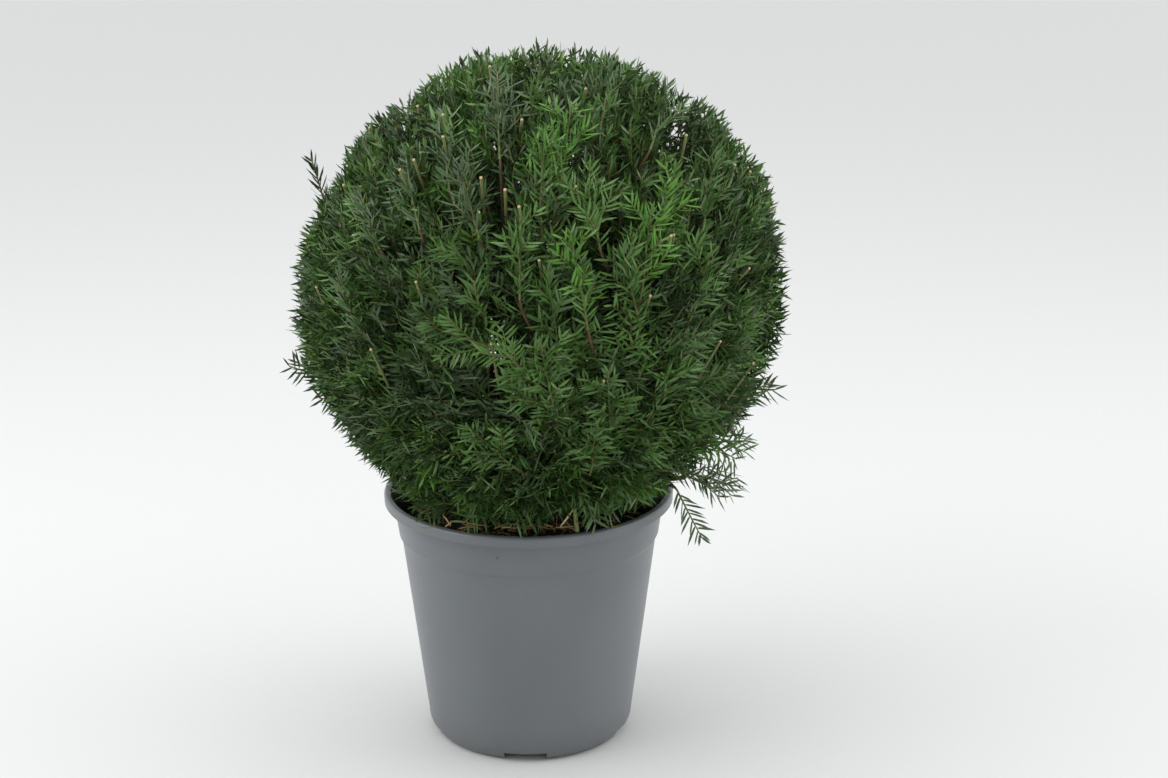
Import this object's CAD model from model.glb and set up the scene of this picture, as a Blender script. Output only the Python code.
"""Looks of the potted yew ball: bark, shoots, needles, soil and container.

Limbs run on from the stem by a seeded branching rule: each new twig joins the
nearest older one below it, and the leafy shoots end at the clipped outline.
Lengths are metres, +Z is up and -Y faces the camera.
"""
import math

import bmesh
import bpy
import numpy as np
from mathutils import Matrix, Vector, noise


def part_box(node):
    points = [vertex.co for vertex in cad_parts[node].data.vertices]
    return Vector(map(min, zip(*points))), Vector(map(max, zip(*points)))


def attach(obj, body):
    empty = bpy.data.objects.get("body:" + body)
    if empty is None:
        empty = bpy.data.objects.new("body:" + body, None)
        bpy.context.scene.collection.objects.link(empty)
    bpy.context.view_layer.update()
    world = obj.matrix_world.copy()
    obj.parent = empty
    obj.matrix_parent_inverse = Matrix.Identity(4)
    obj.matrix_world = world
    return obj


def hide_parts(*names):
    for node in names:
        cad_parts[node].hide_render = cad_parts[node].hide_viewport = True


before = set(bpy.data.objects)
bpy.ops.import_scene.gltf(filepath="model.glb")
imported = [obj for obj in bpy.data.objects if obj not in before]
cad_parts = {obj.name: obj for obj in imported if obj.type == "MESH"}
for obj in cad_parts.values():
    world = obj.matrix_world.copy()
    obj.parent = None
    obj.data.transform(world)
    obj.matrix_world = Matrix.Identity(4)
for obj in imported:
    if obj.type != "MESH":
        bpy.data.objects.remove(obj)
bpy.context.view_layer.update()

rng = np.random.default_rng(7219)
TAU = 2.0 * math.pi

# ---------------------------------------------------------------- shared sizes
BALL = np.array((0.009, 0.0, 0.380))
BALL_R = 0.1955
SHOULDER = 0.0085
CROWN_LOW = 0.2175
FORK = np.array((0.005, -0.002, 0.246))
SOIL_TOP = 0.1850
STEM_FORK_Z = 0.2460
STEM_FOOT_R, STEM_R, STEM_TOP_R = 0.0165, 0.0108, 0.0088
FLARE_H = 0.014

CAMERA_AT = np.array((0.046, -1.567, 0.778))
CAMERA_DOWN = 17.12
CAMERA_LENS = 61.64


def unit(v):
    v = np.asarray(v, float)
    return v / np.maximum(np.linalg.norm(v, axis=-1, keepdims=True), 1e-12)


def smoothstep(x, a, b):
    t = min(max((x - a) / (b - a), 0.0), 1.0)
    return t * t * (3.0 - 2.0 * t)


FULL = unit((0.84, -0.10, 0.53))
LEAN = unit((-0.77, -0.12, 0.62))


def outline(d):
    """Distance from the ball's centre to the clipped outline along d."""
    r = BALL_R + SHOULDER * math.exp(-(1.0 - float(d @ FULL)) / 0.22)
    r -= 0.9 * SHOULDER * math.exp(-(1.0 - float(d @ LEAN)) / 0.15)
    return r + 0.0035 * noise.noise(Vector(d * 3.4) + Vector((5.0, 1.0, 3.0)))


def ray(px, py):
    """Direction of the line of sight through a point of the 1168 x 778 view."""
    a = math.radians(CAMERA_DOWN)
    fwd = np.array((0.0, math.cos(a), -math.sin(a)))
    up = np.array((0.0, math.sin(a), math.cos(a)))
    right = np.array((1.0, 0.0, 0.0))
    f = 1168.0 * CAMERA_LENS / 36.0
    return unit(fwd + right * (px - 584.0) / f - up * (py - 389.0) / f)


def seen(px, py, scale=1.0):
    """Where that line of sight first meets the ball."""
    u = ray(px, py)
    w = CAMERA_AT - BALL
    b = float(w @ u)
    r = (BALL_R + 0.004) * scale
    disc = b * b - (float(w @ w) - r * r)
    if disc <= 0.0:
        return CAMERA_AT - u * b
    return CAMERA_AT + u * (-b - math.sqrt(disc))


def at_depth(px, py, y):
    """The point of that line of sight that has the given y."""
    u = ray(px, py)
    return CAMERA_AT + u * ((y - CAMERA_AT[1]) / u[1])


# ---------------------------------------------------------------- materials
def plain(name, colour, roughness, specular=0.5):
    mat = bpy.data.materials.new(name)
    mat.use_nodes = True
    bsdf = mat.node_tree.nodes["Principled BSDF"]
    bsdf.inputs["Base Color"].default_value = (*colour, 1.0)
    bsdf.inputs["Roughness"].default_value = roughness
    bsdf.inputs["Specular IOR Level"].default_value = specular
    return mat


def mottled(name, dark, light, roughness, scale, stretch=(1.0, 1.0, 1.0), bump=0.3,
            distance=0.0006, detail=6.0, low=0.35, high=0.68, rough_vary=0.0):
    """Two colours mixed by noise, with bump from the same noise."""
    mat = plain(name, light, roughness)
    nodes, links = mat.node_tree.nodes, mat.node_tree.links
    bsdf = nodes["Principled BSDF"]
    coord = nodes.new("ShaderNodeTexCoord")
    mapping = nodes.new("ShaderNodeMapping")
    mapping.inputs["Scale"].default_value = stretch
    tex = nodes.new("ShaderNodeTexNoise")
    tex.inputs["Scale"].default_value = scale
    tex.inputs["Detail"].default_value = detail
    tex.inputs["Roughness"].default_value = 0.6
    ramp = nodes.new("ShaderNodeValToRGB")
    ramp.color_ramp.elements[0].position = low
    ramp.color_ramp.elements[0].color = (*dark, 1.0)
    ramp.color_ramp.elements[1].position = high
    ramp.color_ramp.elements[1].color = (*light, 1.0)
    links.new(coord.outputs["Object"], mapping.inputs["Vector"])
    links.new(mapping.outputs["Vector"], tex.inputs["Vector"])
    links.new(tex.outputs["Fac"], ramp.inputs["Fac"])
    links.new(ramp.outputs["Color"], bsdf.inputs["Base Color"])
    if bump:
        node = nodes.new("ShaderNodeBump")
        node.inputs["Strength"].default_value = bump
        node.inputs["Distance"].default_value = distance
        links.new(tex.outputs["Fac"], node.inputs["Height"])
        links.new(node.outputs["Normal"], bsdf.inputs["Normal"])
    if rough_vary:
        span = nodes.new("ShaderNodeMapRange")
        span.inputs["To Min"].default_value = roughness - rough_vary
        span.inputs["To Max"].default_value = roughness + rough_vary
        links.new(tex.outputs["Fac"], span.inputs["Value"])
        links.new(span.outputs["Result"], bsdf.inputs["Roughness"])
    return mat


# base colours, dealt out spray by spray
TINTS = {
    "shade": ((0.022, 0.044, 0.014), 0.55),
    "deep": ((0.036, 0.076, 0.021), 0.48),
    "grey": ((0.078, 0.134, 0.056), 0.42),
    "mid": ((0.054, 0.120, 0.028), 0.44),
    "leaf": ((0.074, 0.162, 0.034), 0.42),
    "light": ((0.100, 0.215, 0.044), 0.42),
    "fresh": ((0.115, 0.290, 0.034), 0.42),
    "dry": ((0.300, 0.200, 0.085), 0.65),
}
needle_mats = {k: plain("needle_" + k, c, r, 0.45) for k, (c, r) in TINTS.items()}
twig_mats = {
    "green": plain("twig_green", (0.150, 0.170, 0.055), 0.55, 0.3),
    "brown": plain("twig_brown", (0.120, 0.075, 0.040), 0.75, 0.2),
    "cut": plain("twig_cut", (0.620, 0.480, 0.270), 0.80, 0.2),
}


# ---------------------------------------------------------------- mesh makers
def mesh_object(name, verts, faces, mat, flat=False):
    """An object from an array of points and an array of triangles or quads."""
    verts = np.asarray(verts, np.float32)
    faces = np.asarray(faces, np.int32)
    mesh = bpy.data.meshes.new(name)
    mesh.vertices.add(len(verts))
    mesh.vertices.foreach_set("co", verts.ravel())
    n = faces.shape[1]
    mesh.loops.add(faces.size)
    mesh.loops.foreach_set("vertex_index", faces.ravel())
    mesh.polygons.add(len(faces))
    mesh.polygons.foreach_set("loop_start", np.arange(0, faces.size, n, dtype=np.int32))
    mesh.polygons.foreach_set("use_smooth", np.full(len(faces), not flat))
    mesh.update(calc_edges=True)
    mesh.validate()
    mesh.materials.append(mat)
    ob = bpy.data.objects.new(name, mesh)
    bpy.context.scene.collection.objects.link(ob)
    return ob


class Tubes:
    """Tapering tubes gathered into one mesh."""

    def __init__(self):
        self.verts, self.faces, self.count = [], [], 0

    def add(self, path, radii, sides):
        path = np.asarray(path, float)
        radii = np.asarray(radii, float)
        n = len(path)
        tangent = unit(np.gradient(path, axis=0))
        ref = np.array((0.13, 0.31, 0.94))
        if abs(float(tangent[0] @ unit(ref))) > 0.9:
            ref = np.array((0.9, 0.2, 0.1))
        a = unit(np.cross(tangent, ref))
        b = np.cross(tangent, a)
        phi = TAU * np.arange(sides) / sides
        ring = (a[:, None, :] * np.cos(phi)[None, :, None]
                + b[:, None, :] * np.sin(phi)[None, :, None])
        pts = path[:, None, :] + ring * radii[:, None, None]
        tip = path[-1] + tangent[-1] * radii[-1] * 0.5
        self.verts.append(np.vstack([pts.reshape(-1, 3), tip[None]]))
        i = np.arange(n - 1)[:, None] * sides
        j = np.arange(sides)[None, :]
        k = (j + 1) % sides
        p, q, r, s = i + j, i + k, i + sides + k, i + sides + j
        quads = np.stack([p, q, r, s], -1).reshape(-1, 4)
        tris = np.vstack([quads[:, [0, 1, 2]], quads[:, [0, 2, 3]]])
        last = (n - 1) * sides
        cap = np.stack([last + j[0], last + k[0], np.full(sides, n * sides)], -1)
        self.faces.append(np.vstack([tris, cap]) + self.count)
        self.count += n * sides + 1

    def build(self, name, mat):
        return mesh_object(name, np.vstack(self.verts), np.vstack(self.faces), mat)


class Needles:
    """Needle blades of four triangles, gathered by tint."""

    def __init__(self):
        self.rows = {k: [] for k in TINTS}

    def add(self, tint, base, direction, bend, normal, length, width):
        self.rows[tint].append(np.hstack([base, direction, bend, normal,
                                          length[:, None], width[:, None]]))

    def arrays(self, tint):
        rows = np.vstack(self.rows[tint])
        base, d, bend, nrm = rows[:, 0:3], unit(rows[:, 3:6]), rows[:, 6:9], rows[:, 9:12]
        length, width = rows[:, 12:13], rows[:, 13:14]
        side = unit(np.cross(nrm, d))

        def centre(t):
            return base + length * (d * t + bend * t * t)
        m, h = centre(0.14), centre(0.62)
        v = np.stack([base,
                      m - side * width * 0.42, m + side * width * 0.42,
                      h - side * width * 0.50, h + side * width * 0.50,
                      centre(1.0)], 1)
        n = len(rows)
        f = np.array([(0, 1, 2), (1, 3, 4), (1, 4, 2), (3, 5, 4)])
        faces = (np.arange(n)[:, None, None] * 6 + f[None]).reshape(-1, 3)
        return v.reshape(-1, 3), faces


needles = Needles()
green_twigs, side_twigs, brown_twigs, cut_ends, branches = Tubes(), Tubes(), Tubes(), Tubes(), Tubes()


def hermite(p0, t0, p1, t1, n):
    t = np.linspace(0.0, 1.0, n)[:, None]
    return ((2 * t ** 3 - 3 * t ** 2 + 1) * p0 + (t ** 3 - 2 * t ** 2 + t) * t0
            + (-2 * t ** 3 + 3 * t ** 2) * p1 + (t ** 3 - t ** 2) * t1)


def along(path, u):
    """Points and tangents at the shares u of a path's length."""
    seg = np.linalg.norm(np.diff(path, axis=0), axis=1)
    s = np.concatenate([[0.0], np.cumsum(seg)])
    x = np.asarray(u) * s[-1]
    pos = np.stack([np.interp(x, s, path[:, k]) for k in range(3)], -1)
    tan = np.gradient(path, axis=0)
    tan = np.stack([np.interp(x, s, tan[:, k]) for k in range(3)], -1)
    return pos, unit(tan), s[-1]


def leafy(path, facing, tint, length=0.0155, alpha=58.0, spread=14.0, lift=14.0,
          start=0.06, pitch=0.00225, tip_short=0.45, width=0.0019):
    """Needles along a shoot. facing is the side its flat face looks to."""
    path = np.asarray(path, float)
    total = float(np.linalg.norm(np.diff(path, axis=0), axis=1).sum())
    n = int(total * (1.0 - start) / pitch)
    if n < 4:
        return
    u = start + (1.0 - start) * (np.arange(n) + 0.5 + rng.uniform(-0.3, 0.3, n)) / n
    pos, tan, _ = along(path, u)
    s = unit(np.cross(tan, facing))
    nv = np.cross(s, tan)
    sign = np.where(np.arange(n) % 2 == 0, 1.0, -1.0)
    phi = np.radians(90.0 - lift + rng.normal(0.0, spread, n))
    late = np.clip((u - 0.80) / 0.20, 0.0, 1.0)
    al = np.radians(alpha - (alpha - 24.0) * late + rng.normal(0.0, 6.0, n))
    d = (np.cos(al)[:, None] * tan
         + np.sin(al)[:, None] * (np.cos(phi)[:, None] * nv
                                  + (sign * np.sin(phi))[:, None] * s))
    size = length * (1.0 - tip_short * late) * (0.80 + 0.20 * np.clip(u / 0.25, 0, 1))
    size = size * rng.uniform(0.82, 1.12, n)
    radial = min(spread / 45.0, 1.0)
    nrm = nv * (1.0 - 0.6 * radial) + tan * 0.6 * radial + rng.normal(0.0, 0.20, (n, 3))
    nrm = unit(nrm - d * (nrm * d).sum(1, keepdims=True))
    bend = tan * rng.uniform(0.02, 0.20, n)[:, None] + nv * rng.uniform(-0.05, 0.07, n)[:, None]
    needles.add(tint, pos, d, bend, nrm, size, np.full(n, width) * rng.uniform(0.85, 1.15, n))


def clip_path(path, slack):
    """The path up to where it leaves the clipped outline."""
    keep = len(path)
    for i, p in enumerate(path):
        v = p - BALL
        r = float(np.linalg.norm(v))
        if r > 0.12 and r > outline(v / r) + slack:
            keep = i
            break
    if keep < 2:
        return None
    if keep == len(path):
        return path
    a, b = path[keep - 1], path[keep]
    lo, hi = 0.0, 1.0
    for _ in range(6):
        t = 0.5 * (lo + hi)
        v = a + (b - a) * t - BALL
        r = float(np.linalg.norm(v))
        if r > outline(v / r) + slack:
            hi = t
        else:
            lo = t
    return np.vstack([path[:keep], (a + (b - a) * lo)[None]])


def spray(path, facing, tint, tip_tint=None, sides=5, side_len=0.030, length=0.0155,
          spread=14.0, lift=14.0, slack=None, r0=0.0009, angle=46.0, start=0.08,
          pitch=0.00225, first=0.16, brown=False, alpha=58.0):
    """A main shoot with side shoots in one plane, all of them leafy."""
    if slack is not None:
        path = clip_path(path, slack)
        if path is None:
            return
    tip_tint = tip_tint or tint
    leafy(path, facing, tint, length, alpha, spread, lift, start, pitch)
    store = brown_twigs if brown else green_twigs
    store.add(path, np.linspace(r0, r0 * 0.55, len(path)), 4)
    flip = 1.0 if rng.random() < 0.5 else -1.0
    for k in range(sides):
        t = first + (0.90 - first) * (k + rng.uniform(0.2, 0.8)) / sides
        pos, tan, _ = along(path, [t])
        pos, tan = pos[0], tan[0]
        s = unit(np.cross(tan, facing))
        nv = np.cross(s, tan)
        flip = -flip
        a = math.radians(rng.normal(angle, 6.0))
        psi = math.radians(rng.normal(8.0, 12.0 + 0.4 * spread))
        d = math.cos(a) * tan + math.sin(a) * (flip * math.cos(psi) * s + math.sin(psi) * nv)
        size = side_len * (1.0 - 0.50 * t) * rng.uniform(0.7, 1.2)
        end = pos + d * size * 0.95 + tan * size * 0.16
        sub = hermite(pos, d * size, end, unit(d + 0.6 * tan) * size, 4)
        if slack is not None:
            sub = clip_path(sub, slack)
            if sub is None or len(sub) < 2:
                continue
        leafy(sub, nv, tip_tint if rng.random() < 0.7 else tint, length * 0.94, alpha,
              spread, lift, 0.04, pitch)
        side_twigs.add(sub, np.linspace(r0 * 0.7, r0 * 0.4, len(sub)), 3)


# ---------------------------------------------------------------- limbs
def stem_axis(z):
    t = min(max((z - SOIL_TOP) / (STEM_FORK_Z - SOIL_TOP), 0.0), 1.0)
    bend = t * t * (3.0 - 2.0 * t)
    return np.array((FORK[0] * bend, FORK[1] * bend, z))


def stem_radius(z):
    h = max(z - SOIL_TOP, 0.0)
    t = min(h / (STEM_FORK_Z - SOIL_TOP), 1.0)
    return (STEM_R + (STEM_TOP_R - STEM_R) * t
            + (STEM_FOOT_R - STEM_R) * math.exp(-(h / (0.42 * FLARE_H)) ** 1.3))


# limb, height and azimuth where it leaves the stem, radii, sweep; it runs to
# the middle of the mass of foliage that it carries
LIMBS = (
    ("bough_foot_front_left", "mass_foot_front_left", 0.1990, -128.0, 0.0026, 0.0020, 0.5),
    ("bough_foot_front", "mass_foot_front", 0.1950, -92.0, 0.0030, 0.0022, 0.5),
    ("bough_foot_front_right", "mass_foot_front_right", 0.1990, -55.0, 0.0026, 0.0020, 0.5),
    ("bough_foot_back_right", "mass_foot_back_right", 0.1970, 43.0, 0.0026, 0.0020, 0.5),
    ("bough_foot_back", "mass_foot_back", 0.1990, 90.0, 0.0026, 0.0020, 0.5),
    ("bough_foot_back_left", "mass_foot_back_left", 0.1960, 137.0, 0.0026, 0.0020, 0.5),
    ("bough_low_left", "mass_low_left", 0.2090, 190.0, 0.0036, 0.0022, 0.6),
    ("bough_low_right", "mass_low_right", 0.2040, -18.0, 0.0034, 0.0020, 0.6),
    ("bough_right_spray", "mass_right_spray", 0.2250, -38.0, 0.0032, 0.0020, 0.4),
    ("bough_front_left", "mass_lower_front_left", 0.2240, -130.0, 0.0040, 0.0026, 0.7),
    ("bough_front_right", "mass_lower_front_right", 0.2200, -74.0, 0.0040, 0.0026, 0.7),
    ("bough_right", "mass_lower_right", 0.2280, 8.0, 0.0040, 0.0026, 0.7),
    ("bough_back_right", "mass_lower_back_right", 0.2190, 62.0, 0.0040, 0.0026, 0.7),
    ("bough_back_left", "mass_lower_back_left", 0.2220, 115.0, 0.0040, 0.0026, 0.7),
    ("bough_left", "mass_lower_left", 0.2270, 166.0, 0.0040, 0.0026, 0.7),
    ("leader_front", "mass_upper_front", 0.2410, -100.0, 0.0040, 0.0030, 0.35),
    ("leader_right", "mass_upper_right", 0.2435, -15.0, 0.0042, 0.0030, 0.35),
    ("leader_back", "mass_upper_back_right", 0.2420, 80.0, 0.0040, 0.0030, 0.35),
    ("leader_left", "mass_upper_left", 0.2430, 176.0, 0.0042, 0.0030, 0.35),
    ("leader_top", "mass_top", 0.2450, 60.0, 0.0034, 0.0026, 0.02),
)


def middle(node):
    low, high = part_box(node)
    return (np.array(low) + np.array(high)) * 0.5


def bezier(points, t):
    work = [np.array(p, float) for p in points]
    while len(work) > 1:
        work = [a + (b - a) * t for a, b in zip(work, work[1:])]
    return work[0]


samples = []          # (position, tangent, radius) of every limb so far


def remember(path, radii, first=0.0):
    tan = unit(np.gradient(path, axis=0))
    for i in range(len(path)):
        if i / (len(path) - 1) >= first:
            samples.append(np.concatenate([path[i], tan[i], [radii[i]]]))


limb_tubes = []
limb_paths = {}
for name, goal, z0, azimuth, r0, r1, sweep in LIMBS:
    a = math.radians(azimuth)
    out = np.array((math.cos(a), math.sin(a), 0.0))
    start = stem_axis(z0) + out * (stem_radius(z0) * 0.35 if sweep > 0.1 else 0.0)
    if sweep <= 0.1:
        start = stem_axis(STEM_FORK_Z) - np.array((0.0, 0.0, 0.004))
    end = middle(goal)
    run = end - start
    flat = math.hypot(run[0], run[1])
    ctrl = (start, start + out * flat * sweep + np.array((0.0, 0.0, run[2] * (0.30 if sweep > 0.1 else 0.5))),
            start + run * 0.55, end)
    n = 18
    path = np.array([bezier(ctrl, i / (n - 1)) for i in range(n)])
    wob = np.array([[noise.noise(Vector(p) * 30.0 + Vector((k * 9.0, azimuth, 0.0))) for k in range(3)]
                    for p in path])
    path = path + wob * 0.0022 * np.sin(np.linspace(0.0, math.pi, n))[:, None]
    radii = np.linspace(r0, r1, n)
    radii[0] = r0 * 1.25
    limb_tubes.append((path, radii))
    limb_paths[name] = path
    if "foot" not in name:
        remember(path, radii, 0.45)

# stem and limbs grown together, with the relief of scaly bark
stem = Tubes()
zs = np.concatenate([[SOIL_TOP - 0.004], np.linspace(SOIL_TOP, STEM_FORK_Z + 0.002, 22)])
stem.add([stem_axis(z) for z in zs], [stem_radius(z) for z in zs], 24)
for path, radii in limb_tubes:
    stem.add(path, radii, 10)
trunk = stem.build("trunk_bark", mottled(
    "bark", (0.050, 0.028, 0.017), (0.200, 0.120, 0.072), 0.85, 210.0, (1.0, 1.0, 0.35),
    0.7, 0.0009))
bm = bmesh.new()
bm.from_mesh(trunk.data)
bmesh.ops.holes_fill(bm, edges=[e for e in bm.edges if e.is_boundary], sides=0)
bmesh.ops.recalc_face_normals(bm, faces=bm.faces)
bm.to_mesh(trunk.data)
bm.free()
mod = trunk.modifiers.new("grow_together", "REMESH")
mod.mode = "VOXEL"
mod.voxel_size = 0.0011
bpy.context.view_layer.update()
grown = bpy.data.meshes.new_from_object(trunk.evaluated_get(bpy.context.evaluated_depsgraph_get()))
trunk.modifiers.clear()
bark_mat = trunk.data.materials[0]
trunk.data = grown
if not grown.materials:
    grown.materials.append(bark_mat)
co = np.zeros(len(grown.vertices) * 3, np.float32)
nv = np.zeros(len(grown.vertices) * 3, np.float32)
grown.vertices.foreach_get("co", co)
grown.vertices.foreach_get("normal", nv)
co, nv = co.reshape(-1, 3), nv.reshape(-1, 3)
relief = np.array([noise.noise(Vector((p[0] * 260.0, p[1] * 260.0, p[2] * 70.0)))
                   + 0.5 * noise.noise(Vector((p[0] * 520.0, p[1] * 520.0, p[2] * 160.0 + 7.0)))
                   for p in co])
deep = np.where(np.hypot(co[:, 0], co[:, 1]) < 0.020, 0.00055, 0.00028)
co = co + nv * (relief * deep)[:, None]
grown.vertices.foreach_set("co", co.astype(np.float32).ravel())
grown.update()
grown.shade_smooth()
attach(trunk, "root")
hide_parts("trunk", *[row[0] for row in LIMBS])


# ---------------------------------------------------------------- crown
def heading(p, wild=0.0):
    """The way a twig grows at a place in the crown."""
    radial = unit(p - np.array((0.006, 0.0, 0.235)))
    h = (p[2] - 0.38) / 0.19
    rise = 0.10 + 0.62 * smoothstep(h, -0.85, -0.1)
    d = radial + np.array((0.0, 0.0, rise))
    if wild:
        d = unit(d) + rng.normal(0.0, wild, 3)
    return unit(d)


def valley(d):
    """Above zero between the plumes of the crown."""
    n = noise.noise(Vector((d[0] * 4.4, d[1] * 4.4, d[2] * 2.1 + 4.0)))
    n += 0.5 * noise.noise(Vector((d[0] * 9.0, d[1] * 9.0, d[2] * 4.0 + 11.0)))
    return smoothstep(n, 0.02, 0.42)


# hollows that look into the crown: direction, how wide, how deep
HOLLOWS = [(unit(seen(px, py) - BALL), wide, deep) for px, py, wide, deep in (
    (484, 382, 0.17, 0.080), (577, 372, 0.11, 0.060), (606, 222, 0.13, 0.045),
    (394, 228, 0.11, 0.036), (489, 172, 0.11, 0.036), (640, 140, 0.10, 0.030),
    (618, 335, 0.09, 0.030), (712, 215, 0.08, 0.020), (640, 400, 0.08, 0.026),
    (445, 300, 0.08, 0.024),
)]


def sunk(d):
    """How far the tips lie below the outline there."""
    deep = 0.022 * valley(d)
    for h, wide, depth in HOLLOWS:
        gap = math.acos(max(-1.0, min(1.0, float(d @ h))))
        deep = max(deep, depth * (1.0 - smoothstep(gap, wide * 0.55, wide)))
    return deep


def sphere_dirs(n, twist):
    i = np.arange(n) + 0.5
    z = 1.0 - 2.0 * i / n
    phi = i * 2.399963 + twist
    r = np.sqrt(1.0 - z * z)
    d = np.stack([r * np.cos(phi), r * np.sin(phi), z], -1)
    return unit(d + rng.normal(0.0, 0.35 / math.sqrt(n), d.shape))


def join(p, step, stray):
    """The place on an older limb from which a twig grows to p."""
    want = p - heading(p) * step
    table = np.array(samples)
    v = p - table[:, :3]
    dist = np.linalg.norm(v, axis=1)
    turn = 1.0 - (v * table[:, 3:6]).sum(1) / np.maximum(dist, 1e-6)
    cost = np.linalg.norm(table[:, :3] - want, axis=1) + 0.018 * turn
    cost = cost + np.where(dist < step * 0.45, 0.05, 0.0)
    return table[int(np.argmin(cost + rng.uniform(0.0, stray, len(cost))))]


def grow(dirs, share, step, r0, r1, n, sides, store, keep):
    made = []
    for d in dirs:
        deep = sunk(d)
        p = BALL + d * (outline(d) - deep * keep) * share
        p = p + rng.normal(0.0, 0.004, 3)
        if p[2] < CROWN_LOW + 0.004:
            continue
        row = join(p, step, 0.004)
        a, ta = row[:3], row[3:6]
        size = float(np.linalg.norm(p - a))
        if size > 0.13:
            continue
        path = hermite(a, unit(0.7 * ta + unit(p - a)) * size * 0.9, p, heading(p, 0.10) * size * 0.8, n)
        radii = np.linspace(min(r0, row[6] * 0.85), r1, n)
        store.add(path, radii, sides)
        made.append((path, radii, d, deep))
    for path, radii, d, deep in made:
        remember(path, radii, 0.35)
    return made


def pick(d, p, deep):
    """Tint of a spray by where it grows."""
    x = (p[0] - BALL[0]) / BALL_R
    z = (p[2] - BALL[2]) / BALL_R
    w = {"shade": 0.25 + 14.0 * deep + 0.5 * max(-z, 0.0), "deep": 0.9 + 0.5 * max(-z, 0.0),
         "mid": 1.3, "leaf": 1.0 + 0.5 * max(z, 0.0), "light": 0.35 + 0.35 * max(z, 0.0),
         "grey": 0.5 + 1.5 * max(-x, 0.0) + 0.3 * max(z, 0.0),
         "fresh": 0.10 + 0.10 * max(x, 0.0)}
    if deep > 0.008:
        w["light"] *= 0.2
        w["fresh"] = 0.0
        w["grey"] *= 0.5
    field = noise.noise(Vector(d * 3.1) + Vector((20.0, 0.0, 0.0)))
    w["light"] *= max(0.2, 1.0 + 2.2 * field)
    w["leaf"] *= max(0.3, 1.0 + 1.2 * field)
    w["shade"] *= max(0.3, 1.0 - 1.5 * field)
    keys = list(w)
    odds = np.array([w[k] for k in keys])
    return keys[int(rng.choice(len(keys), p=odds / odds.sum()))]


TIP_OF = {"shade": "deep", "deep": "mid", "mid": "leaf", "leaf": "light", "light": "light",
          "grey": "grey", "fresh": "fresh"}

first = grow(sphere_dirs(190, 0.3), 0.66, 0.050, 0.0024, 0.0016, 8, 8, branches, 0.9)
for path, radii, d, deep in first:
    leafy(path, unit(d + np.array((0, 0, 0.5))), "shade", 0.0165, 60.0, 40.0, 8.0, 0.15, 0.0022)
second = grow(sphere_dirs(600, 1.1), 0.835, 0.042, 0.0015, 0.0010, 7, 6, branches, 1.0)
for path, radii, d, deep in second:
    leafy(path, unit(d + np.array((0, 0, 0.5))), "deep" if rng.random() < 0.5 else "shade",
          0.0165, 58.0, 30.0, 10.0, 0.10, 0.0021)

for d in sphere_dirs(2300, 2.2):
    deep = sunk(d)
    if deep > 0.012 and rng.random() < 0.5:
        continue
    top = smoothstep(float(d[2]), 0.15, 0.65)
    p = BALL + d * (outline(d) - deep - 0.0075 + rng.normal(0.0, 0.0028))
    if p[2] < CROWN_LOW + 0.006:
        continue
    row = join(p, 0.050, 0.006)
    a, ta = row[:3], row[3:6]
    size = float(np.linalg.norm(p - a))
    if size > 0.105:
        continue
    path = hermite(a, unit(0.6 * ta + unit(p - a)) * size * 0.9, p,
                   heading(p, 0.16) * size * 0.8, 6)
    facing = unit(d + np.array((0.0, 0.0, 0.55)) + rng.normal(0.0, 0.32, 3))
    tint = pick(d, p, deep)
    spray(path, facing, tint, TIP_OF[tint], sides=int(rng.integers(2, 5)),
          side_len=0.030 - 0.008 * top, length=0.0152 - 0.0030 * top,
          spread=19.0 + 24.0 * top, lift=14.0 + 6.0 * top, slack=-0.0045,
          start=0.25, first=0.38, pitch=0.0024, alpha=58.0 - 12.0 * top)

# ---------------------------------------------------------------- plumes in front
# upright shoots that stand out: foot and tip in the view, tint, how far out
PLUMES = (
    ((572, 440), (546, 262), "leaf", "light", 1.00), ((556, 420), (538, 330), "leaf", "light", 1.01),
    ((588, 330), (570, 228), "light", "fresh", 1.00), ((520, 300), (520, 205), "leaf", "light", 1.00),
    ((652, 258), (676, 166), "light", "fresh", 1.00), ((640, 300), (652, 205), "light", "fresh", 1.00),
    ((560, 190), (573, 92), "light", "fresh", 1.00), ((540, 215), (545, 128), "light", "fresh", 1.00),
    ((537, 385), (492, 338), "light", "light", 1.00), ((545, 402), (500, 398), "leaf", "light", 1.00),
    ((520, 470), (462, 424), "leaf", "light", 0.99), ((470, 268), (448, 240), "leaf", "light", 1.00),
    ((500, 350), (425, 325), "leaf", "light", 0.98), ((640, 330), (622, 245), "leaf", "light", 1.00),
    ((690, 320), (712, 250), "leaf", "light", 1.00), ((610, 450), (608, 366), "leaf", "light", 1.00),
    ((650, 420), (688, 352), "leaf", "light", 1.00), ((600, 250), (585, 178), "light", "light", 1.00),
    ((480, 240), (455, 150), "grey", "grey", 1.00), ((420, 230), (400, 130), "grey", "grey", 1.00),
    ((380, 250), (352, 172), "grey", "light", 1.00), ((450, 190), (440, 90), "grey", "light", 1.00),
    ((500, 160), (497, 66), "grey", "grey", 1.00), ((360, 330), (328, 262), "grey", "leaf", 1.00),
    ((700, 235), (716, 155), "leaf", "leaf", 1.00), ((650, 150), (668, 84), "mid", "leaf", 1.00),
    ((600, 130), (612, 62), "mid", "leaf", 1.00), ((740, 260), (757, 190), "mid", "leaf", 1.00),
    ((590, 475), (596, 430), "leaf", "leaf", 1.00), ((480, 310), (470, 262), "leaf", "light", 1.00),
)
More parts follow.
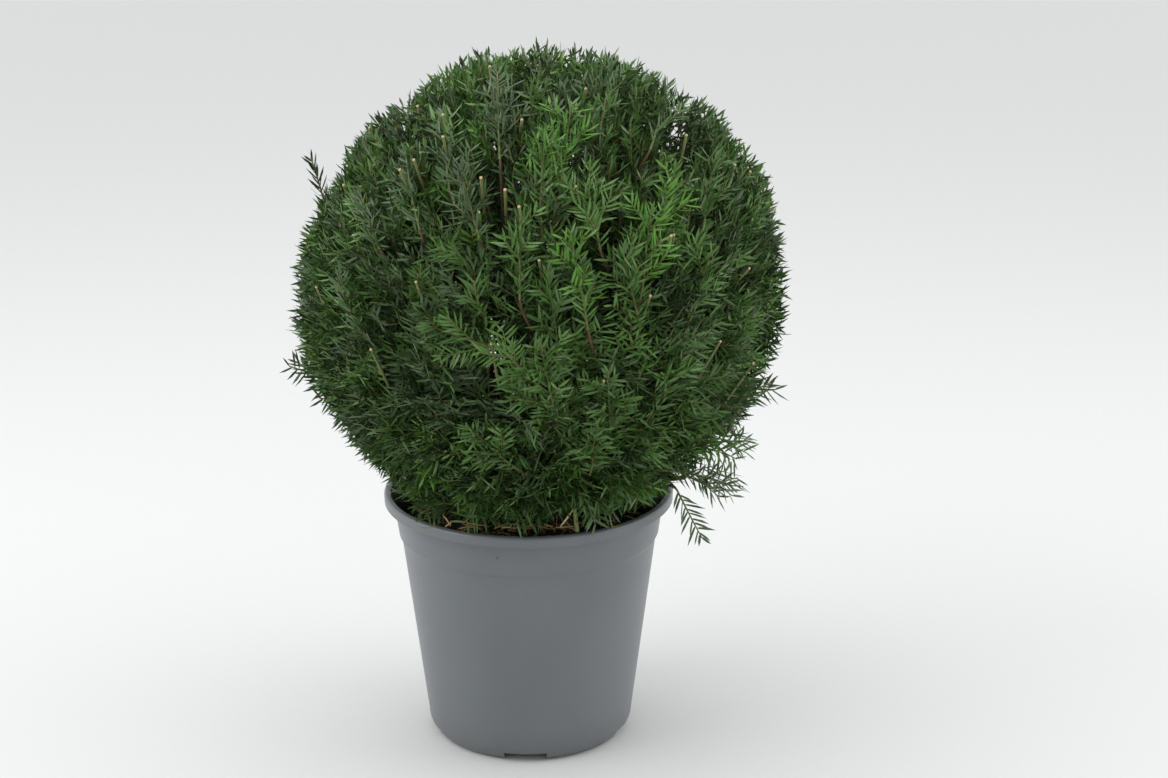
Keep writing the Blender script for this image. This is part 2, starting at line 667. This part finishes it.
for foot, tip, tint, tip_tint, scale in PLUMES:
    a = seen(foot[0], foot[1], 0.93 * scale)
    b = seen(tip[0], tip[1], 0.985 * scale)
    root = join(a, 0.03, 0.002)
    size = float(np.linalg.norm(b - a))
    out = unit(a - BALL)
    lead = hermite(root[:3], root[3:6] * 0.03, a, unit(b - a) * 0.03, 5)
    brown_twigs.add(lead, np.linspace(0.0012, 0.0010, 5), 5)
    path = hermite(a, (unit(b - a) + out * 0.20) * size, b, (unit(b - a) + 0.15 * out) * size, 8)
    spray(path, unit(out + rng.normal(0.0, 0.15, 3)), tint, tip_tint, sides=6,
          side_len=0.031, length=0.0150, spread=36.0, lift=20.0, r0=0.0011, start=0.02,
          angle=42.0, pitch=0.0017, alpha=52.0, slack=-0.0025)

# ---------------------------------------------------------------- outlying sprays
def flat_spray(a, b, facing, tint, tip_tint, sides, side_len, sag=0.0, length=0.0168,
               root=None, r0=0.0012, pitch=0.0023, alpha=62.0):
    """A long flat spray from a to b, joined back to an older limb."""
    a, b = np.asarray(a, float), np.asarray(b, float)
    run = b - a
    mid = (a + b) * 0.5 + np.array((0.0, 0.0, sag))
    t = np.linspace(0.0, 1.0, 10)[:, None]
    path = (1 - t) ** 2 * a + 2 * t * (1 - t) * mid + t ** 2 * b
    spray(path, unit(facing), tint, tip_tint, sides=sides, side_len=side_len, length=length,
          spread=9.0, lift=9.0, r0=r0, start=0.02, angle=40.0, pitch=pitch, alpha=alpha)
    if root is not None:
        lead = hermite(root, run * 0.2, a, run * 0.3, 6)
        brown_twigs.add(lead, np.linspace(0.0018, r0, 6), 6)


# the long branch at the lower left
tipL = at_depth(297, 362, -0.022)
flat_spray(at_depth(424, 446, -0.040), tipL, (0.30, -0.80, 0.40), "grey", "grey", 9, 0.030,
           -0.004, 0.0175, limb_paths["bough_low_left"][13], 0.0014, 0.0022)
flat_spray(at_depth(400, 425, -0.060), at_depth(330, 352, -0.050), (0.2, -0.85, 0.45), "leaf",
           "leaf", 7, 0.028, 0.0, 0.0165, limb_paths["bough_low_left"][13])
flat_spray(at_depth(430, 452, -0.085), at_depth(372, 420, -0.075), (0.2, -0.80, 0.5), "deep",
           "mid", 6, 0.026, -0.002, 0.0175, limb_paths["bough_low_left"][12])
# sprays at the lower right
flat_spray(at_depth(676, 420, -0.080), at_depth(770, 383, -0.046), (-0.25, -0.75, 0.60), "deep",
           "mid", 7, 0.028, -0.003, 0.0175, limb_paths["bough_right_spray"][15], 0.0012, 0.0023)
flat_spray(at_depth(668, 448, -0.085), at_depth(748, 441, -0.060), (-0.1, -0.70, 0.70), "mid",
           "leaf", 7, 0.030, 0.003, 0.0170, limb_paths["bough_right_spray"][14])
flat_spray(at_depth(655, 470, -0.090), at_depth(733, 486, -0.065), (0.0, -0.60, 0.80), "deep",
           "grey", 7, 0.030, 0.006, 0.0175, limb_paths["bough_low_right"][14])
flat_spray(at_depth(640, 440, -0.120), at_depth(706, 414, -0.110), (0.0, -0.70, 0.70), "leaf",
           "light", 6, 0.026, 0.0, 0.0160, limb_paths["bough_front_right"][12])
flat_spray(at_depth(650, 400, -0.135), at_depth(718, 372, -0.118), (0.0, -0.80, 0.60), "mid",
           "leaf", 6, 0.028, 0.0, 0.0160, limb_paths["bough_front_right"][13])
# the twig that hangs beside the rim
flat_spray(at_depth(677, 490, -0.046), at_depth(702, 538, -0.048), (0.10, -0.95, 0.25), "grey",
           "grey", 0, 0.0, -0.001, 0.0155, limb_paths["bough_low_right"][15], 0.0009, 0.0022, 52.0)
# the stray shoot at the upper left
a, b = at_depth(330, 222, -0.014), at_depth(311, 158, -0.010)
path = hermite(a, (b - a) * 0.9, b, (b - a) * 1.1 + np.array((-0.004, 0.0, 0.004)), 8)
leafy(path, np.array((0.1, -1.0, 0.25)), "deep", 0.0135, 42.0, 30.0, 10.0, 0.02, 0.0019)
green_twigs.add(path, np.linspace(0.0010, 0.0006, 8), 5)
root = join(a, 0.03, 0.002)
brown_twigs.add(hermite(root[:3], root[3:6] * 0.03, a, (b - a) * 0.3, 5), np.linspace(0.0013, 0.0010, 5), 5)

# foot sprays over the soil, all round the rim
for i in range(30):
    az = math.radians(-90.0 + 360.0 * i / 30.0 + rng.uniform(-5.0, 5.0))
    c, s_ = math.cos(az), math.sin(az)
    if -2.62 < math.atan2(s_, c) < -2.25 or -0.75 < math.atan2(s_, c) < -0.35:
        reach = 0.086
    else:
        reach = rng.uniform(0.092, 0.106)
    z1 = rng.uniform(0.208, 0.226)
    a = np.array((0.034 * c, 0.034 * s_, 0.205 + rng.uniform(-0.004, 0.010)))
    b = np.array((reach * c, reach * s_, z1))
    tint = ("deep", "mid", "deep", "leaf", "grey")[i % 5]
    flat_spray(a, b, (-0.45 * c, -0.45 * s_, 0.9), tint, TIP_OF[tint], 6, 0.030, 0.010,
               0.0165, stem_axis(0.198) + np.array((0.008 * c, 0.008 * s_, 0.0)))
for px, py, tx, ty, y0, y1, tint in (
        (450, 500, 408, 474, -0.060, -0.072, "light"), (470, 505, 418, 506, -0.070, -0.082, "deep"),
        (520, 480, 484, 470, -0.100, -0.108, "leaf"), (520, 505, 470, 512, -0.086, -0.098, "mid"),
        (600, 490, 556, 470, -0.105, -0.112, "leaf"), (560, 500, 520, 512, -0.095, -0.102, "deep"),
        (600, 470, 640, 492, -0.100, -0.098, "mid"), (570, 480, 600, 512, -0.100, -0.103, "deep"),
        (500, 450, 452, 448, -0.120, -0.118, "leaf"), (540, 450, 500, 440, -0.130, -0.132, "light")):
    flat_spray(at_depth(px, py, y0), at_depth(tx, ty, y1), (0.0, -0.75, 0.65), tint,
               TIP_OF[tint], 5, 0.024, 0.003, 0.0165, limb_paths["bough_foot_front"][10])

# bare stems that show through: left of the middle and by the front rim
for px, py, tx, ty, y0, y1, r in ((500, 300, 487, 200, -0.120, -0.128, 0.0016),
                                  (478, 290, 470, 205, -0.120, -0.125, 0.0013),
                                  (594, 490, 590, 440, -0.105, -0.120, 0.0015)):
    a, b = at_depth(px, py, y0), at_depth(tx, ty, y1)
    brown_twigs.add(hermite(a, (b - a), b, (b - a), 6), np.linspace(r, r * 0.7, 6), 7)
a, b, c = at_depth(577, 531, -0.1065), at_depth(572, 490, -0.116), at_depth(560, 438, -0.150)
front = np.vstack([hermite(a, (b - a) * 0.9, b, (c - a) * 0.45, 7),
                   hermite(b, (c - a) * 0.45, c, (c - b) * 0.9, 7)[1:]])
green_twigs.add(front, np.linspace(0.0019, 0.0011, len(front)), 8)
flake = hermite(at_depth(572, 508, -0.112), np.array((0.002, 0.004, -0.012)),
                at_depth(560, 527, -0.106), np.array((-0.004, 0.004, -0.008)), 6)
cut_ends.add(flake, np.linspace(0.0011, 0.0005, 6), 6)

# clipped ends with bare wood, some where the view shows them
spots = [seen(px, py, 1.005) for px, py in ((443, 115), (443, 137), (481, 178), (519, 207), (505, 190),
                                            (750, 172), (671, 236), (414, 160), (400, 170))]
for d in sphere_dirs(90, 0.7):
    if d[2] > -0.2:
        spots.append(BALL + d * (outline(d) - 0.004))
for p in spots:
    d = heading(p, 0.10)
    a = p - d * rng.uniform(0.030, 0.050)
    path = hermite(a, d * 0.03, p, d * 0.03, 5)
    green_twigs.add(path, np.linspace(0.0013, 0.0011, 5), 6)
    cut_ends.add(np.array([p - d * 0.0002, p + d * 0.0008]), [0.00115, 0.00105], 7)

# ---------------------------------------------------------------- litter
n = 420
az = rng.uniform(0.0, TAU, n)
r = 0.100 * np.sqrt(rng.uniform(0.05, 1.0, n))
base = np.stack([r * np.cos(az), r * np.sin(az), np.full(n, SOIL_TOP + 0.0022)], -1)
lay = rng.uniform(0.0, TAU, n)
d = unit(np.stack([np.cos(lay), np.sin(lay), rng.uniform(-0.05, 0.30, n)], -1))
needles.add("dry", base, d, rng.normal(0.0, 0.10, (n, 3)), unit(rng.normal(0.0, 0.5, (n, 3)) + (0, 0, 1)),
            rng.uniform(0.009, 0.016, n), np.full(n, 0.0017))
# a few dry needles and fibres caught at the front of the rim
n = 46
base = np.array([at_depth(px, py, -0.102) for px, py in
                 zip(rng.normal(525, 34, n), rng.normal(521, 5, n))])
base[:, 2] = np.clip(base[:, 2], 0.196, 0.214)
d = unit(rng.normal(0.0, 1.0, (n, 3)) * (1.0, 0.5, 0.5))
needles.add("dry", base, d, rng.normal(0.0, 0.25, (n, 3)), unit(rng.normal(0.0, 1.0, (n, 3))),
            rng.uniform(0.007, 0.014, n), np.full(n, 0.0012))

# ---------------------------------------------------------------- pieces of the plant
FOLIAGE_NODES = sorted(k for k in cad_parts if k.startswith("mass_"))
counts = {}
shown = [k for k in TINTS if needles.rows[k]]
pieces = []
for tint in shown:
    verts, faces = needles.arrays(tint)
    total = len(faces)
    parts = max(1, math.ceil(total / 190000))
    per = math.ceil(total / 4 / parts)
    for i in range(parts):
        v = verts[i * per * 6:(i + 1) * per * 6]
        f = faces[i * per * 4:(i + 1) * per * 4] - i * per * 6
        name = "needles_" + tint + ("_%d" % (i + 1) if parts > 1 else "")
        ob = mesh_object(name, v, f, needle_mats[tint], flat=True)
        pieces.append(ob)
        counts[name] = len(f)
for i, ob in enumerate(pieces):
    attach(ob, "root")
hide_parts(*FOLIAGE_NODES)

for name, store, mat in (("twigs_green", green_twigs, twig_mats["green"]),
                         ("twigs_side", side_twigs, twig_mats["green"]),
                         ("twigs_brown", brown_twigs, twig_mats["brown"]),
                         ("twigs_cut_ends", cut_ends, twig_mats["cut"]),
                         ("branches_inner", branches, mottled(
                             "branch_bark", (0.060, 0.036, 0.020), (0.170, 0.115, 0.065), 0.8,
                             260.0, (1.0, 1.0, 0.5), 0.4, 0.0004))):
    ob = store.build(name, mat)
    counts[name] = len(ob.data.polygons)
    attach(ob, "root")

# ---------------------------------------------------------------- container
LIP_R, LIP_TOP, LIP_H, LIP_INNER_R = 0.1200, 0.2107, 0.0084, 0.1146
COLLAR_TOP_R, COLLAR_LOW_R, STEP_Z, STEP_DROP = 0.1124, 0.1083, 0.1745, 0.0030
WALL_TOP_R, WALL_LOW_R, WALL_LOW_Z, WALL_T = 0.1062, 0.0870, 0.0140, 0.0022
FOOT_R, FOOT_RING, FLOOR_UNDER, FLOOR_TOP, BOSS_R = 0.0786, 0.0078, 0.0080, 0.0105, 0.0185


def wall_r(z):
    return WALL_LOW_R + (WALL_TOP_R - WALL_LOW_R) * (z - WALL_LOW_Z) / (STEP_Z - STEP_DROP - WALL_LOW_Z)


def collar_r(z):
    return COLLAR_LOW_R + (COLLAR_TOP_R - COLLAR_LOW_R) * (z - STEP_Z) / (LIP_TOP - LIP_H - STEP_Z)


def arc(cx, cz, radius, start, end, count):
    return [(cx + radius * math.cos(math.radians(start + (end - start) * i / (count - 1))),
             cz + radius * math.sin(math.radians(start + (end - start) * i / (count - 1))))
            for i in range(count)]


low = LIP_TOP - LIP_H
profile = [(0.0, FLOOR_TOP), (wall_r(FLOOR_TOP) - WALL_T - 0.004, FLOOR_TOP)]
profile += [(wall_r(FLOOR_TOP) - WALL_T + 0.0005, FLOOR_TOP + 0.004)]
profile += [(wall_r(z) - WALL_T, z) for z in np.linspace(0.03, STEP_Z - STEP_DROP, 8)]
profile += [(collar_r(z) - WALL_T, z) for z in np.linspace(STEP_Z, low - 0.001, 5)]
profile += [(LIP_INNER_R - 0.0010, LIP_TOP - 0.0036), (LIP_INNER_R - 0.0006, LIP_TOP - 0.0018)]
profile += arc(LIP_INNER_R + 0.0010, LIP_TOP - 0.0014, 0.0014, 170.0, 95.0, 5)
profile += arc(LIP_R - 0.0022, LIP_TOP - 0.0022, 0.0022, 88.0, 4.0, 8)
profile += [(LIP_R - 0.0001, low + 0.0038), (LIP_R - 0.0003, low + 0.0019)]
profile += arc(LIP_R - 0.0010, low + 0.0009, 0.0009, 20.0, -90.0, 7)
profile += [(LIP_R - 0.0032, low + 0.0001), (collar_r(low) + 0.0022, low + 0.0002)]
profile += [(collar_r(low) + 0.0008, low - 0.0004), (collar_r(low) + 0.0001, low - 0.0016)]
profile += [(collar_r(z), z) for z in np.linspace(low - 0.004, STEP_Z + 0.0016, 8)]
profile += [(collar_r(STEP_Z) + 0.0002, STEP_Z + 0.0007), (collar_r(STEP_Z) - 0.0001, STEP_Z)]
profile += [(collar_r(STEP_Z) - 0.0007, STEP_Z - 0.0008), (wall_r(STEP_Z - STEP_DROP) + 0.0004, STEP_Z - STEP_DROP + 0.0006)]
profile += [(wall_r(z), z) for z in np.linspace(STEP_Z - STEP_DROP, WALL_LOW_Z, 16)]
for t in np.linspace(0.12, 0.95, 7):
    q = 0.5 * math.pi * t
    profile.append((FOOT_R + (WALL_LOW_R - FOOT_R) * math.cos(q),
                    0.0004 + (WALL_LOW_Z - 0.0004) * (1.0 - math.sin(q))))
profile += [(FOOT_R, 0.0), (FOOT_R - FOOT_RING, 0.0), (FOOT_R - FOOT_RING - 0.0006, FLOOR_UNDER),
            (BOSS_R + 0.0010, FLOOR_UNDER), (BOSS_R, 0.0), (0.0, 0.0)]
mesh = bpy.data.meshes.new("pot_profile")
mesh.from_pydata([(r_, 0.0, z_) for r_, z_ in profile], [(i, i + 1) for i in range(len(profile) - 1)], [])
pot = bpy.data.objects.new("pot_shell", mesh)
bpy.context.scene.collection.objects.link(pot)
mod = pot.modifiers.new("turn", "SCREW")
mod.steps = mod.render_steps = 144
mod.angle = TAU
mod.use_merge_vertices = True
mod.merge_threshold = 0.00001
bm = bmesh.new()
for i in range(5):
    turn = Matrix.Rotation(math.radians(-91.5 + 72.0 * i), 4, "Z")
    made = bmesh.ops.create_cube(bm, size=1.0)["verts"]
    for v in made:
        x, y, z = v.co
        v.co = Vector((FOOT_R - 0.0058 + (x + 0.5) * 0.03,
                       y * (0.0385 - (0.005 if x < 0.0 else 0.0)), -0.01 if z < 0.0 else 0.0078))
    bmesh.ops.transform(bm, matrix=turn, verts=made)
notch_mesh = bpy.data.meshes.new("notches")
bm.to_mesh(notch_mesh)
bm.free()
bm = bmesh.new()
for i in range(5):
    turn = Matrix.Rotation(math.radians(-91.5 + 72.0 * i), 4, "Z")
    made = bmesh.ops.create_cube(bm, size=1.0)["verts"]
    for v in made:
        x, y, z = v.co
        v.co = Vector((FOOT_R - 0.0058 + 0.0031 + x * 0.0058, y * 0.0285, 0.0125 + z * 0.014))
    bmesh.ops.transform(bm, matrix=turn, verts=made)
for i in range(4):
    q = math.radians(45.0 + 90.0 * i)
    bmesh.ops.create_cone(bm, cap_ends=True, segments=24, radius1=0.0055, radius2=0.0055, depth=0.012,
                          matrix=Matrix.Translation((0.045 * math.cos(q), 0.045 * math.sin(q), FLOOR_TOP - 0.001)))
slot_mesh = bpy.data.meshes.new("slots")
bm.to_mesh(slot_mesh)
bm.free()
tools = []
for m in (notch_mesh, slot_mesh):
    tool = bpy.data.objects.new(m.name, m)
    bpy.context.scene.collection.objects.link(tool)
    cut = pot.modifiers.new("cut", "BOOLEAN")
    cut.operation = "DIFFERENCE"
    cut.solver = "EXACT"
    cut.object = tool
    tools.append(tool)
bpy.context.view_layer.update()
shell = bpy.data.meshes.new_from_object(pot.evaluated_get(bpy.context.evaluated_depsgraph_get()))
pot.modifiers.clear()
pot.data = shell
for tool in tools:
    bpy.data.objects.remove(tool, do_unlink=True)
# the moulding is a little out of round, with a nick where the rim's seam runs
seam = math.atan2(-0.093, -0.075)
for v in shell.vertices:
    q = math.atan2(v.co.y, v.co.x)
    rr = math.hypot(v.co.x, v.co.y)
    if rr < 0.06:
        continue
    h = v.co.z / LIP_TOP
    wave = 0.00022 * math.sin(2.0 * q + 0.6) * h + 0.00012 * math.sin(5.0 * q + 2.0 * h)
    if v.co.z > low and rr > 0.1145:
        gap = (q - seam + math.pi) % TAU - math.pi
        wave -= 0.0007 * math.exp(-(gap / 0.016) ** 2)
    k = 1.0 + (wave - 0.00025) / rr
    v.co.x *= k
    v.co.y *= k
shell.shade_smooth()
shell.set_sharp_from_angle(angle=math.radians(40.0))

pot_mat = plain("grey_plastic", (0.150, 0.163, 0.172), 0.36, 0.5)
nodes, links = pot_mat.node_tree.nodes, pot_mat.node_tree.links
bsdf = nodes["Principled BSDF"]
coord = nodes.new("ShaderNodeTexCoord")


def noise_node(scale, stretch, detail=4.0):
    m = nodes.new("ShaderNodeMapping")
    m.inputs["Scale"].default_value = stretch
    t = nodes.new("ShaderNodeTexNoise")
    t.inputs["Scale"].default_value = scale
    t.inputs["Detail"].default_value = detail
    links.new(coord.outputs["Object"], m.inputs["Vector"])
    links.new(m.outputs["Vector"], t.inputs["Vector"])
    return t


broad = noise_node(9.0, (1.0, 1.0, 0.6), 2.0)
fine = noise_node(900.0, (1.0, 1.0, 1.0), 3.0)
scuff = noise_node(60.0, (1.0, 1.0, 0.16), 8.0)
dust = noise_node(130.0, (1.0, 1.0, 1.0), 8.0)
ramp = nodes.new("ShaderNodeValToRGB")
ramp.color_ramp.elements[0].position, ramp.color_ramp.elements[0].color = 0.35, (0.132, 0.145, 0.153, 1.0)
ramp.color_ramp.elements[1].position, ramp.color_ramp.elements[1].color = 0.70, (0.158, 0.172, 0.182, 1.0)
links.new(broad.outputs["Fac"], ramp.inputs["Fac"])
marks = nodes.new("ShaderNodeValToRGB")
marks.color_ramp.elements[0].position, marks.color_ramp.elements[0].color = 0.72, (0.0, 0.0, 0.0, 1.0)
marks.color_ramp.elements[1].position, marks.color_ramp.elements[1].color = 0.90, (1.0, 1.0, 1.0, 1.0)
links.new(scuff.outputs["Fac"], marks.inputs["Fac"])
mixed = nodes.new("ShaderNodeMix")
mixed.data_type = "RGBA"
mixed.inputs["B"].default_value = (0.200, 0.206, 0.212, 1.0)
links.new(ramp.outputs["Color"], mixed.inputs["A"])
links.new(marks.outputs["Color"], mixed.inputs["Factor"])
# soil dust low on the wall and inside the rim
place = nodes.new("ShaderNodeSeparateXYZ")
links.new(coord.outputs["Object"], place.inputs["Vector"])
lowly = nodes.new("ShaderNodeMapRange")
lowly.inputs["From Min"].default_value, lowly.inputs["From Max"].default_value = 0.030, 0.0
lowly.inputs["To Min"].default_value, lowly.inputs["To Max"].default_value = 0.0, 0.55
links.new(place.outputs["Z"], lowly.inputs["Value"])
speck = nodes.new("ShaderNodeMath")
speck.operation = "MULTIPLY"
links.new(lowly.outputs["Result"], speck.inputs[0])
links.new(dust.outputs["Fac"], speck.inputs[1])
dirty = nodes.new("ShaderNodeMix")
dirty.data_type = "RGBA"
dirty.inputs["B"].default_value = (0.070, 0.058, 0.048, 1.0)
links.new(mixed.outputs["Result"], dirty.inputs["A"])
links.new(speck.outputs["Value"], dirty.inputs["Factor"])
links.new(dirty.outputs["Result"], bsdf.inputs["Base Color"])
rough = nodes.new("ShaderNodeMapRange")
rough.inputs["To Min"].default_value, rough.inputs["To Max"].default_value = 0.30, 0.46
links.new(broad.outputs["Fac"], rough.inputs["Value"])
links.new(rough.outputs["Result"], bsdf.inputs["Roughness"])
bump = nodes.new("ShaderNodeBump")
bump.inputs["Strength"].default_value = 0.12
bump.inputs["Distance"].default_value = 0.0002
links.new(fine.outputs["Fac"], bump.inputs["Height"])
links.new(bump.outputs["Normal"], bsdf.inputs["Normal"])
shell.materials.clear()
shell.materials.append(pot_mat)
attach(pot, "root")
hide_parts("pot")

# ---------------------------------------------------------------- soil
rings, steps = 56, 180
edge = collar_r(SOIL_TOP) - WALL_T - 0.0008
verts = [(0.0, 0.0, SOIL_TOP)]
for i in range(1, rings + 1):
    rr = edge * i / rings
    for j in range(steps):
        q = TAU * j / steps
        x, y = rr * math.cos(q), rr * math.sin(q)
        h = 0.0026 * noise.noise(Vector((x * 38.0, y * 38.0, 2.7)))
        h += 0.0020 * noise.noise(Vector((x * 110.0, y * 110.0, 1.0)))
        h += 0.0014 * abs(noise.noise(Vector((x * 330.0, y * 330.0, 5.0))))
        verts.append((x, y, SOIL_TOP + h - 0.0006))
faces = []
for j in range(steps):
    faces.append((0, 1 + j, 1 + (j + 1) % steps))
for i in range(rings - 1):
    for j in range(steps):
        a0 = 1 + i * steps + j
        a1 = 1 + i * steps + (j + 1) % steps
        faces.append((a0, a0 + steps, a1 + steps))
        faces.append((a0, a1 + steps, a1))
base_n = len(verts)
verts = np.array(verts)
# a skirt and an underside close the body of soil
skirt = verts[1 + (rings - 1) * steps:].copy()
skirt[:, 2] = 0.150
skirt[:, :2] *= 0.93
verts = np.vstack([verts, skirt, [(0.0, 0.0, 0.150)]])
for j in range(steps):
    a0 = 1 + (rings - 1) * steps + j
    a1 = 1 + (rings - 1) * steps + (j + 1) % steps
    b0, b1 = base_n + j, base_n + (j + 1) % steps
    faces += [(a0, b0, b1), (a0, b1, a1), (b1, b0, len(verts) - 1)]
# crumbs lie on it
ico = bmesh.new()
bmesh.ops.create_icosphere(ico, subdivisions=1, radius=1.0)
ico.verts.ensure_lookup_table()
iv = np.array([v.co[:] for v in ico.verts])
iface = np.array([[v.index for v in f.verts] for f in ico.faces])
ico.free()
cv, cf, base = [verts], [np.array(faces)], len(verts)
for _ in range(900):
    rr = edge * 0.97 * math.sqrt(rng.uniform(0.03, 1.0))
    q = rng.uniform(0.0, TAU)
    size = rng.uniform(0.0007, 0.0030) * rng.uniform(0.5, 1.0)
    lump = iv * (1.0 + rng.normal(0.0, 0.16, (len(iv), 1))) * rng.uniform(0.6, 1.2, 3) * size
    cv.append(lump + (min(rr, edge - size) * math.cos(q), min(rr, edge - size) * math.sin(q), SOIL_TOP + size * 0.4 + 0.0006))
    cf.append(iface + base)
    base += len(iv)
soil = mesh_object("soil_peat", np.vstack(cv), np.vstack(cf), mottled(
    "peat", (0.008, 0.006, 0.005), (0.045, 0.032, 0.022), 0.95, 300.0, (1, 1, 1), 0.8, 0.0012), flat=False)
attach(soil, "root")
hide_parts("soil")

# ---------------------------------------------------------------- stage
bpy.ops.mesh.primitive_plane_add(size=40.0, location=(0.0, 0.0, -0.0002))
floor = bpy.context.object
floor.name = "floor"
floor.data.materials.append(plain("floor_pale", (0.745, 0.745, 0.735), 0.60, 0.2))

scene = bpy.context.scene
world = bpy.data.worlds.new("studio")
scene.world = world
world.use_nodes = True
wn, wl = world.node_tree.nodes, world.node_tree.links
bg = wn["Background"]
tc = wn.new("ShaderNodeTexCoord")
sep = wn.new("ShaderNodeSeparateXYZ")
span = wn.new("ShaderNodeMapRange")
span.inputs["From Min"].default_value, span.inputs["From Max"].default_value = -0.9, 0.5
span.inputs["To Min"].default_value, span.inputs["To Max"].default_value = 0.34, 0.86
wl.new(tc.outputs["Generated"], sep.inputs["Vector"])
wl.new(sep.outputs["Y"], span.inputs["Value"])
beside = wn.new("ShaderNodeMath")
beside.operation = "ABSOLUTE"
wl.new(sep.outputs["X"], beside.inputs[0])
more = wn.new("ShaderNodeMath")
more.operation = "MULTIPLY_ADD"
more.inputs[1].default_value = 0.70
wl.new(beside.outputs["Value"], more.inputs[0])
wl.new(span.outputs["Result"], more.inputs[2])
wl.new(more.outputs["Value"], bg.inputs["Strength"])
bg.inputs["Color"].default_value = (0.97, 0.985, 1.0, 1.0)


def area(name, at, to, size, power, colour=(1.0, 1.0, 1.0)):
    lamp = bpy.data.lights.new(name, "AREA")
    lamp.shape = "RECTANGLE"
    lamp.size, lamp.size_y = size
    lamp.energy = power
    lamp.color = colour
    ob = bpy.data.objects.new(name, lamp)
    scene.collection.objects.link(ob)
    ob.location = at
    ob.rotation_euler = (Vector(to) - Vector(at)).to_track_quat("-Z", "Y").to_euler()
    return ob


area("light_left", (-1.7, -0.6, 1.5), (0.0, 0.0, 0.30), (1.4, 1.4), 15.0)
area("light_right", (1.8, -0.1, 1.2), (0.0, 0.0, 0.25), (1.2, 1.4), 8.0)
area("light_top", (-0.2, 0.3, 2.2), (0.0, 0.0, 0.20), (1.6, 1.6), 8.0)

cam_data = bpy.data.cameras.new("camera")
cam_data.lens = CAMERA_LENS
cam_data.sensor_width = 36.0
cam_data.clip_end = 100.0
camera = bpy.data.objects.new("camera", cam_data)
scene.collection.objects.link(camera)
camera.location = CAMERA_AT
camera.rotation_euler = (math.radians(90.0 - CAMERA_DOWN), 0.0, 0.0)
scene.camera = camera
scene.view_settings.view_transform = "Standard"
scene.view_settings.look = "None"

print("triangles", sum(counts.values()), counts)
